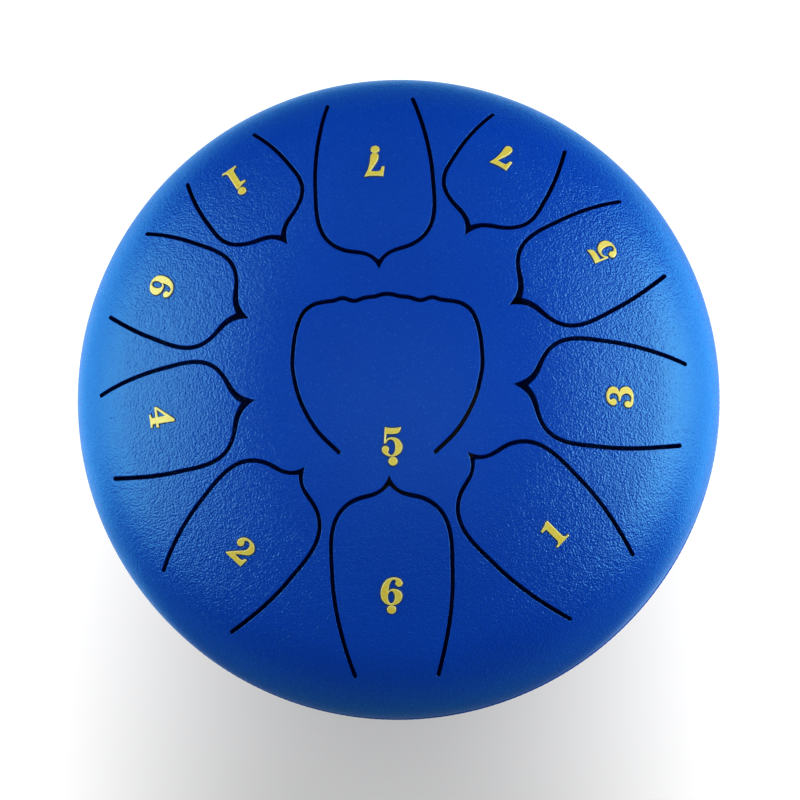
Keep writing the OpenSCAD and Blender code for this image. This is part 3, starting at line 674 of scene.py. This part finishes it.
FOUR_EYE = [(-0.029, 0.62, C), (-0.029, 0.36, C), (-0.27, 0.36, C)]
# Middle and half axes of the eye of the 6
SIX_EYE = (-0.009, 0.294, 0.114, 0.21)
# Each figure's height, as a share of NUMBER_H, and the places of its dot, as shares of its own height
HEIGHTS = (0.95, 0.98, 1.02, 0.98, 1.03, 1, 0.99)
DOT_BELOW, DOT_ABOVE = -0.148, 1.165
# Width of the chamfer, then its depth and its middle's place as shares of that width
CHAMFER, CHAMFER_DEPTH, MID_IN, MID_DOWN = 0.22, 0.8, 0.35, 0.16
# The dark line painted round a number as its shadow: its width round the number, how much of the number it
# covers, and its height
LINE, TRIM, LINE_TOP = 0.45, 0.1, 0.14
# The forms reach SUNK into the steel, and a dot is STAGGER lower than its figure
SUNK, STAGGER = 0.03, 0.01
# How far the normals lean outwards in the rows from the face to the foot of the painted shadow line
OUTWARDS = (0.12, 0.45, 0.9, 0.5, 0.5)
# A point less than STRAIGHT off the line between its neighbours is spare, and so is one where the
# outline turns by less than SOFT_TURN within NEAR insets of a corner
STRAIGHT, SOFT_TURN, NEAR = 0.0005, math.radians(25), 1.2
# Spacing of a face's inner points, and how far they keep from its outline
NUMBER_STEP, NUMBER_GAP = 0.8, 0.35
# A number's materials, in STAMPING's order: the gold, a paler gold painted on the chamfers as a highlight,
# and a dark colour painted round the number as its shadow, which also covers its underside
METAL, PAINTED_EDGE_HIGHLIGHT, GLUE_AND_SHADOW_LINE = 0, 1, 2


def rounded(shares, steps=5):
    """The outline through the given points, with corners where they are marked."""
    knots = []
    for p in shares:
        knots += [np.array(p[:2], float)] * (2 if len(p) == 3 else 1)
    n, out = len(knots), []
    for i in range(n):
        a, b = knots[i], knots[(i + 1) % n]
        if np.linalg.norm(b - a) > TINY:
            curve = [a, a + (b - knots[i - 1]) / 6, b - (knots[(i + 2) % n] - a) / 6, b]
            out.append(bend(curve, np.arange(steps) / steps))
    return np.vstack(out)


def area_of(loop):
    x, y = loop.T
    return 0.5 * float(np.sum(x * np.roll(y, -1) - np.roll(x, -1) * y))


def crossed(a, b):
    """The cross products of plan vectors."""
    return a[:, 0] * b[:, 1] - a[:, 1] * b[:, 0]


def spare_corners(loop, inset):
    """The loop without the points on its straight sides, and without those that lie so near an outward
    corner that an inset would pass them."""
    while True:
        back, on = np.roll(loop, 1, 0) - loop, np.roll(loop, -1, 0) - loop
        height = np.abs(crossed(back, on)) / np.linalg.norm(on - back, axis=1)
        if height.min() > STRAIGHT:
            break
        loop = np.delete(loop, height.argmin(), 0)
    before, after = loop - np.roll(loop, 1, 0), np.roll(loop, -1, 0) - loop
    turn = np.arctan2(crossed(before, after), np.sum(before * after, 1))
    keep = np.ones(len(loop), bool)
    for i in np.flatnonzero(turn > SOFT_TURN):
        near = np.linalg.norm(loop - loop[i], axis=1) < NEAR * inset * math.tan(turn[i] / 2)
        keep &= ~(near & (np.abs(turn) < SOFT_TURN))
    return loop[keep]


def figure_outlines(figure, dot, size):
    """The figure and its dot, each as a list of its outline and the eye in it, if it has one."""
    shapes = [[rounded(FIGURES[figure]) * size]]
    if figure == 4:
        shapes[0].append(rounded(FOUR_EYE) * size)
    if figure == 6:
        x, y, half_w, half_h = SIX_EYE
        a = np.radians(np.arange(0, 360, 10))
        shapes[0].append(np.c_[x + half_w * np.cos(a), y + half_h * np.sin(a)] * size)
    if dot:
        height = size * (DOT_ABOVE if dot > 0 else DOT_BELOW)
        shapes.append([arc((0, height), DOT_D / 2, 0, 360, 40)[:-1]])
    return shapes


def ready_loops(shape):
    """A shape's loops with the metal on their left, less what the painted shadow line covers."""
    loops = [loop if (area_of(loop) > 0) == (i == 0) else loop[::-1] for i, loop in enumerate(shape)]
    loops = [loop + edge_normals(loop, closed=True)[0] * TRIM for loop in loops]
    return [spare_corners(loop, CHAMFER) for loop in loops]


def face_mesh(insets):
    """Points and triangles of a number's face inside its inset outline, and each loop's point numbers."""
    points = [q for loop in insets for q in loop]
    chains, first = [], 0
    for loop in insets:
        chains.append(list(range(first, first + len(loop))))
        first += len(loop)
    fixed = np.array(points)
    lo, hi = fixed.min(0) + NUMBER_STEP / 2, fixed.max(0)
    grid = np.array([(u, v) for u in np.arange(lo[0], hi[0], NUMBER_STEP)
                     for v in np.arange(lo[1], hi[1], NUMBER_STEP)])
    if len(grid):
        near = np.min(np.linalg.norm(grid[:, None] - fixed[None], axis=2), 1)
        points += list(grid[near > NUMBER_GAP])
    triangles = triangulate(points, chains)
    points = np.array(points)
    middles = points[triangles].mean(1)
    hold = inside(middles, insets[0])
    for eye in insets[1:]:
        hold &= ~inside(middles, eye)
    return points, triangles[hold], chains


def stamp(build, shape, top_h, on_crown, across):
    """Adds one closed form: its face, the chamfer with its painted highlight, the wall, the dark line
    painted round it as its shadow, and the underside.
    """
    loops = ready_loops(shape)
    paths = [edge_normals(loop, closed=True) for loop in loops]
    insets = [loop + path[0] * CHAMFER for loop, path in zip(loops, paths)]
    points, triangles, chains = face_mesh(insets)
    place, n_top = on_crown(points, top_h)
    ids, ids_under = build.add(place), build.add(on_crown(points, -SUNK)[0])
    for f in triangles.tolist():
        build.slot = METAL
        build.face([ids[i] for i in f], [n_top[i] for i in f])
        build.slot = GLUE_AND_SHADOW_LINE
        build.face([ids_under[i] for i in f[::-1]], [-n_top[i] for i in f[::-1]])
    for loop, (shift, before, after), chain in zip(loops, paths, chains):
        edge, n_edge = on_crown(loop, top_h - CHAMFER * CHAMFER_DEPTH)
        mid_edge = on_crown(loop + shift * CHAMFER * MID_IN, top_h - CHAMFER * MID_DOWN)[0]
        line_top = on_crown(loop, LINE_TOP)[0]
        line_foot = on_crown(loop - unit(shift) * LINE, -SUNK)[0]
        top, bottom = on_faces((ids, ids_under), chain)
        rows = [top] + [build.add(p) for p in (mid_edge, edge, line_top, line_foot)] + [bottom]
        leans = [[unit(n_edge * (1 - f) + across(s) * f) for f in OUTWARDS] + [-n_edge]
                 for s in (before, after)]
        # The chamfer's two rows carry the painted highlight, and the last two the dark line painted round
        # the number as its shadow
        for j, slot in enumerate((PAINTED_EDGE_HIGHLIGHT, PAINTED_EDGE_HIGHLIGHT, METAL, GLUE_AND_SHADOW_LINE, GLUE_AND_SHADOW_LINE)):
            build.slot = slot
            build.strip(rows[j + 1], rows[j], (leans[1][j + 1], leans[0][j + 1]), (leans[1][j], leans[0][j]),
                        True)


def number(figure, dot, bearing, r, aside, turn):
    """A figure stamped to the crown's curve, with a chamfered edge, seated on the steel. r is its middle's
    distance from the drum's middle and aside its distance from the tongue's axis."""
    size = NUMBER_H * HEIGHTS[figure - 1]
    t = math.radians(bearing + turn)
    x, y = turned(np.array([r, aside]), -turn)
    tilt = math.asin(x / CROWN_R)
    ball = np.array([0, 0, DOME_H - CROWN_R])
    middle = np.array([x, y, DOME_H - CROWN_R + math.sqrt(CROWN_R**2 - r * r)])
    right, up = np.array([0, 1.0, 0]), np.array([-math.cos(tilt), 0, math.sin(tilt)])
    out = np.array([math.sin(tilt), 0, math.cos(tilt)])
    spin = np.array([[math.cos(t), math.sin(t), 0], [-math.sin(t), math.cos(t), 0], [0, 0, 1]])

    def on_crown(uv, height):
        """Points of the figure's plane dropped onto the crown's ball, raised above it, and its normals."""
        p = middle + uv[:, :1] * right + (uv[:, 1:] - size / 2) * up - ball
        along = p @ out
        p = p + (-along + np.sqrt(along**2 + (CROWN_R + height) ** 2 - np.sum(p * p, 1)))[:, None] * out
        return (p + ball) @ spin + [0, 0, SEAM_Z], unit(p) @ spin

    def across(n):
        """The outward normals of walls whose normals into the metal, in the figure's plane, are n."""
        return -(n[:, :1] * right + n[:, 1:] * up) @ spin

    build = Build()
    for k, shape in enumerate(figure_outlines(figure, dot, size)):
        stamp(build, shape, GLUE_T + NUMBER_T - STAGGER * k, on_crown, across)
    return build


# Materials
def material(name):
    """A new material, its node tree, its shader and the socket of its object coordinates."""
    m = bpy.data.materials.new(name)
    m.use_nodes = True
    tree = m.node_tree
    return m, tree, tree.nodes["Principled BSDF"], tree.nodes.new("ShaderNodeTexCoord").outputs["Object"]


def node(tree, kind, **values):
    """A new node. Each value goes to the socket of its name, or else to the node's own setting."""
    n = tree.nodes.new(kind)
    for key, value in values.items():
        if key in n.inputs:
            n.inputs[key].default_value = value
        else:
            setattr(n, key, value)
    return n


def noise(tree, where, scale, detail=2.0):
    n = node(tree, "ShaderNodeTexNoise", Scale=scale, Detail=detail)
    tree.links.new(where, n.inputs["Vector"])
    return n.outputs["Fac"]


def span(tree, value, a, b, c=0, d=1, kind="LINEAR"):
    """value, from a to b, mapped to c to d."""
    n = tree.nodes.new("ShaderNodeMapRange")
    n.interpolation_type = kind
    for key, v in zip(("From Min", "From Max", "To Min", "To Max"), (a, b, c, d)):
        n.inputs[key].default_value = v
    tree.links.new(value, n.inputs["Value"])
    return n.outputs["Result"]


def blend_colours(tree, factor, a, b):
    """Colour a where factor is 0 and colour b where it is 1."""
    n = tree.nodes.new("ShaderNodeMix")
    n.data_type = "RGBA"
    n.inputs[6].default_value, n.inputs[7].default_value = (*a, 1), (*b, 1)
    tree.links.new(factor, n.inputs[0])
    return n.outputs[2]


def maths(tree, a, b, operation="MULTIPLY"):
    """The product of a and b, each a socket or a value, or the result of another operation."""
    n = node(tree, "ShaderNodeMath", operation=operation)
    for socket, v in zip(n.inputs, (a, b)):
        if isinstance(v, (int, float)):
            socket.default_value = v
        else:
            tree.links.new(v, socket)
    return n.outputs[0]


def length_of(tree, vector, scale):
    """Length of the vector when its axes are scaled."""
    scaled = node(tree, "ShaderNodeVectorMath", operation="MULTIPLY")
    scaled.inputs[1].default_value = scale
    tree.links.new(vector, scaled.inputs[0])
    length = node(tree, "ShaderNodeVectorMath", operation="LENGTH")
    tree.links.new(scaled.outputs[0], length.inputs[0])
    return length.outputs["Value"]


def surface(tree, shader, colour, roughness):
    tree.links.new(colour, shader.inputs["Base Color"])
    tree.links.new(roughness, shader.inputs["Roughness"])


def bump(tree, shader, height, distance):
    n = node(tree, "ShaderNodeBump", Distance=distance)
    tree.links.new(height, n.inputs["Height"])
    tree.links.new(n.outputs["Normal"], shader.inputs["Normal"])


def powder_coat():
    """Royal-blue powder coat. Its orange-peel grain is weaker on the crown than beside it."""
    m, t, s, where = material("powder_coat")
    peel = noise(t, where, 1350, 1.0)
    cells = node(t, "ShaderNodeTexVoronoi", feature="SMOOTH_F1", Scale=1200, Smoothness=0.5)
    t.links.new(where, cells.inputs["Vector"])
    broad = noise(t, where, 420, 1.0)
    height = maths(t, maths(t, peel, 1.1), maths(t, cells.outputs["Distance"], 0.35), "ADD")
    height = maths(t, height, maths(t, broad, 0.6), "ADD")
    crown_r, edge_r, weak, full = 0.04, 0.078, 0.45, 1
    heavier = span(t, length_of(t, where, (1, 1, 0)), crown_r, edge_r, weak, full, "SMOOTHSTEP")
    bump(t, s, maths(t, height, heavier), 0.00025)
    cloud = noise(t, where, 14)
    colour = blend_colours(t, span(t, cloud, 0.35, 0.65), (0.0, 0.040, 0.335), (0.0, 0.046, 0.365))
    surface(t, s, colour, span(t, peel, 0.3, 0.7, 0.20, 0.28))
    for key, value in (("Specular IOR Level", 1.0), ("Coat Weight", 1.0), ("Coat IOR", 1.05),
                       ("Coat Roughness", 0.3), ("Coat Tint", (0.24, 0.78, 1.0, 1))):
        s.inputs[key].default_value = value
    return m


def gold():
    """The gold colour of the stampings, finely brushed."""
    m, t, s, where = material("gold_stamping")
    brush = noise(t, where, 900, 3.0)
    colour = blend_colours(t, span(t, noise(t, where, 1100), 0.4, 0.62),
                           (0.64, 0.475, 0.02), (0.60, 0.58, 0.09))
    surface(t, s, colour, span(t, brush, 0.3, 0.7, 0.26, 0.36))
    s.inputs["Metallic"].default_value = 0.1
    s.inputs["Specular IOR Level"].default_value = 1.0
    s.inputs["Specular Tint"].default_value = (0.6, 1.0, 0.95, 1)
    bump(t, s, brush, 0.00003)
    return m


def gold_painted_edge_highlight():
    """The chamfers, painted a paler gold as a highlight along the numbers' edges."""
    m, t, s, where = material("painted_highlight_edge")
    colour = blend_colours(t, noise(t, where, 1500), (0.60, 0.59, 0.16), (0.78, 0.79, 0.36))
    surface(t, s, colour, span(t, noise(t, where, 700), 0.3, 0.7, 0.22, 0.34))
    s.inputs["Metallic"].default_value = 0.15
    return m


def glue_and_painted_shadow():
    """The dark line painted round a number as its shadow, also used on the number's underside against the
    glue.
    """
    m, t, s, where = material("painted_shadow_line_and_glue")
    colour = blend_colours(t, noise(t, where, 1500), (0.002, 0.004, 0.02), (0.006, 0.012, 0.05))
    surface(t, s, colour, span(t, noise(t, where, 900), 0.3, 0.7, 0.5, 0.7))
    return m


def rubber():
    """Matt black moulded rubber."""
    m, t, s, where = material("moulded_rubber")
    grain = noise(t, where, 1500, 3.0)
    colour = blend_colours(t, grain, (0.012, 0.012, 0.013), (0.028, 0.028, 0.029))
    surface(t, s, colour, span(t, noise(t, where, 120), 0.3, 0.7, 0.55, 0.75))
    bump(t, s, grain, 0.00005)
    return m


# Pieces

PAINT, RUBBER = powder_coat(), rubber()
# The second stamping material is a highlight painted on the chamfers as paler gold, the third a shadow
# painted as a dark line round each number
STAMPING = [gold(), gold_painted_edge_highlight(), glue_and_painted_shadow()]


def fit(piece, body, node_name):
    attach(piece, body)
    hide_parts(node_name)


for name, build in top_shell_and_tongues().items():
    if name == "top_shell":
        fit(build.object("painted_top_shell", [PAINT]), "drum", "top_shell")
        continue
    piece = build.object("painted_tongue_" + name, [PAINT])
    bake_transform(piece)
    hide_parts("tongue_" + name)

fit(bottom_shell().object("painted_bottom_shell", [PAINT]), "drum", "bottom_shell")
fit(rim_weld().object("painted_rim_weld", [PAINT]), "drum", "rim_weld")
for name, bearing in FEET.items():
    fit(foot(bearing).object("rubber_" + name, [RUBBER]), "drum", name)

# Each number's figure, dot, bearing, distance from the drum's middle and from its tongue's axis, and turn
places = {"low_5": (5, -1, CENTRE_BEARING, CENTRE_BACK - CENTRE_RADIAL * CENTRE_L,
                    CENTRE_ASIDE * CENTRE_W / 2, CENTRE_TURN)}
for name, tongue in OUTER.items():
    r, aside = ROOT_R - tongue.radial * tongue.length, tongue.aside * tongue.family.width / 2
    places[name] = (tongue.figure, tongue.dot, tongue.bearing, r, aside, tongue.turn)
for name, place in places.items():
    piece = number(*place).object("stamped_number_" + name, STAMPING)
    fit(piece, "note_" + name, "number_" + name)


# Floor, light and camera

# The eye lies 1 m from TARGET in the direction SIGHT
SIGHT, TARGET, LENS = (0.05929761, -0.13256148, 0.98939944), (0.00087, -0.00107, 0.073), 112.99


def floor():
    """A floor that is white to the camera, shaded in front of the drum as in the photograph. The paint's
    gloss shows that white only in a strip beside the drum."""
    half = 4.0
    corners = [(x * half, y * half, 0) for x, y in ((-1, -1), (1, -1), (1, 1), (-1, 1))]
    mesh = bpy.data.meshes.new("floor")
    mesh.from_pydata(corners, [], [(0, 1, 2, 3)])
    plane = new_object("floor", mesh)
    m, t, s, where = material("pale_floor")
    s.inputs["Roughness"].default_value = 0.9
    path = t.nodes.new("ShaderNodeLightPath")
    mirrored = maths(t, path.outputs["Is Glossy Ray"], path.outputs["Is Transmission Ray"], "MAXIMUM")

    def distance(at, depth):
        """Distance over the floor from a point, with the distance in y made depth times as great."""
        shifted = node(t, "ShaderNodeVectorMath", operation="SUBTRACT")
        shifted.inputs[1].default_value = (*at, 0)
        t.links.new(where, shifted.inputs[0])
        return length_of(t, shifted.outputs[0], (1, depth, 0))

    # Painted shade: the floor's colour is dark under the drum, and the camera's white begins where the drum
    # hides it
    middle = distance((0, 0), 1)
    base = blend_colours(t, span(t, middle, 0.045, 0.08), (0.02, 0.02, 0.02), (0.28, 0.28, 0.28))
    t.links.new(base, s.inputs["Base Color"])
    under = span(t, middle, 0.085, 0.12)
    # The strip beside the drum that its gloss shows, and the soft shade in front of the drum
    strip = span(t, distance((0, 0.05), 6.5), 0.95, 1.2, 1, 0.03, "SMOOTHSTEP")
    shade = span(t, distance((-0.012, -0.2), 0.6), 0.02, 0.2, 0.27, 1, "SMOOTHSTEP")
    seen = maths(t, path.outputs["Is Camera Ray"], maths(t, mirrored, strip), "MAXIMUM")
    pool = maths(t, under, shade)
    glow = node(t, "ShaderNodeEmission", Color=(1, 1, 1, 1))
    t.links.new(maths(t, maths(t, seen, pool), 0.92), glow.inputs["Strength"])
    both = t.nodes.new("ShaderNodeAddShader")
    t.links.new(s.outputs[0], both.inputs[0])
    t.links.new(glow.outputs[0], both.inputs[1])
    t.links.new(both.outputs[0], t.nodes["Material Output"].inputs["Surface"])
    mesh.materials.append(m)


def softbox(name, at, width, height, radiance, aim=(0, 0, 0.1), glossy=True):
    """A panel of light that faces its aim. One that isn't glossy leaves no reflection in the paint."""
    lamp = bpy.data.lights.new(name, "AREA")
    lamp.shape, lamp.size, lamp.size_y = "RECTANGLE", width, height
    lamp.energy = radiance * math.pi * width * height
    box = new_object(name, lamp)
    box.location = at
    box.rotation_euler = (Vector(aim) - Vector(at)).to_track_quat("-Z", "Y").to_euler()
    box.visible_camera = False
    box.visible_glossy = glossy


def studio():
    """Dim grey surroundings that are near white to the camera."""
    world = bpy.data.worlds.new("studio")
    world.use_nodes = True
    tree = world.node_tree
    sky = tree.nodes["Background"]
    sky.inputs["Color"].default_value = (1, 1, 1, 1)
    sight = tree.nodes.new("ShaderNodeLightPath").outputs["Is Camera Ray"]
    tree.links.new(span(tree, sight, 0, 1, 0.12, 0.9), sky.inputs["Strength"])
    bpy.context.scene.world = world


def camera():
    data = bpy.data.cameras.new("camera")
    data.sensor_width, data.lens = 36.0, LENS
    eye = new_object("camera", data)
    back = Vector(SIGHT).normalized()
    right = Vector((0, 1, 0)).cross(back).normalized()
    turn = Matrix((right, back.cross(right), back)).transposed().to_4x4()
    eye.matrix_world = Matrix.Translation(Vector(TARGET) + back) @ turn
    bpy.context.scene.camera = eye


floor()
# Each lamp's place, width, height and radiance. The skirts face up beside the drum and light its rim.
softbox("left_panel", (-0.95, 0.12, 0.42), 1.1, 0.95, 3.6)
softbox("right_panel", (0.95, 0.10, 0.37), 1.1, 0.85, 5.2)
softbox("right_skirt", (0.48, 0.05, 0.01), 0.62, 0.26, 1.4, aim=(0.48, 0.05, 1))
softbox("left_skirt", (-0.48, 0.09, 0.01), 0.62, 0.3, 0.9, aim=(-0.48, 0.09, 1))
softbox("back_key", (-0.05, 1.0, 1.0), 1.2, 0.5, 1.6, glossy=False)
softbox("top_fill", (0.0, -0.05, 1.35), 0.8, 0.8, 2.2, glossy=False)
studio()
bpy.context.scene.view_settings.view_transform = "Standard"
camera()
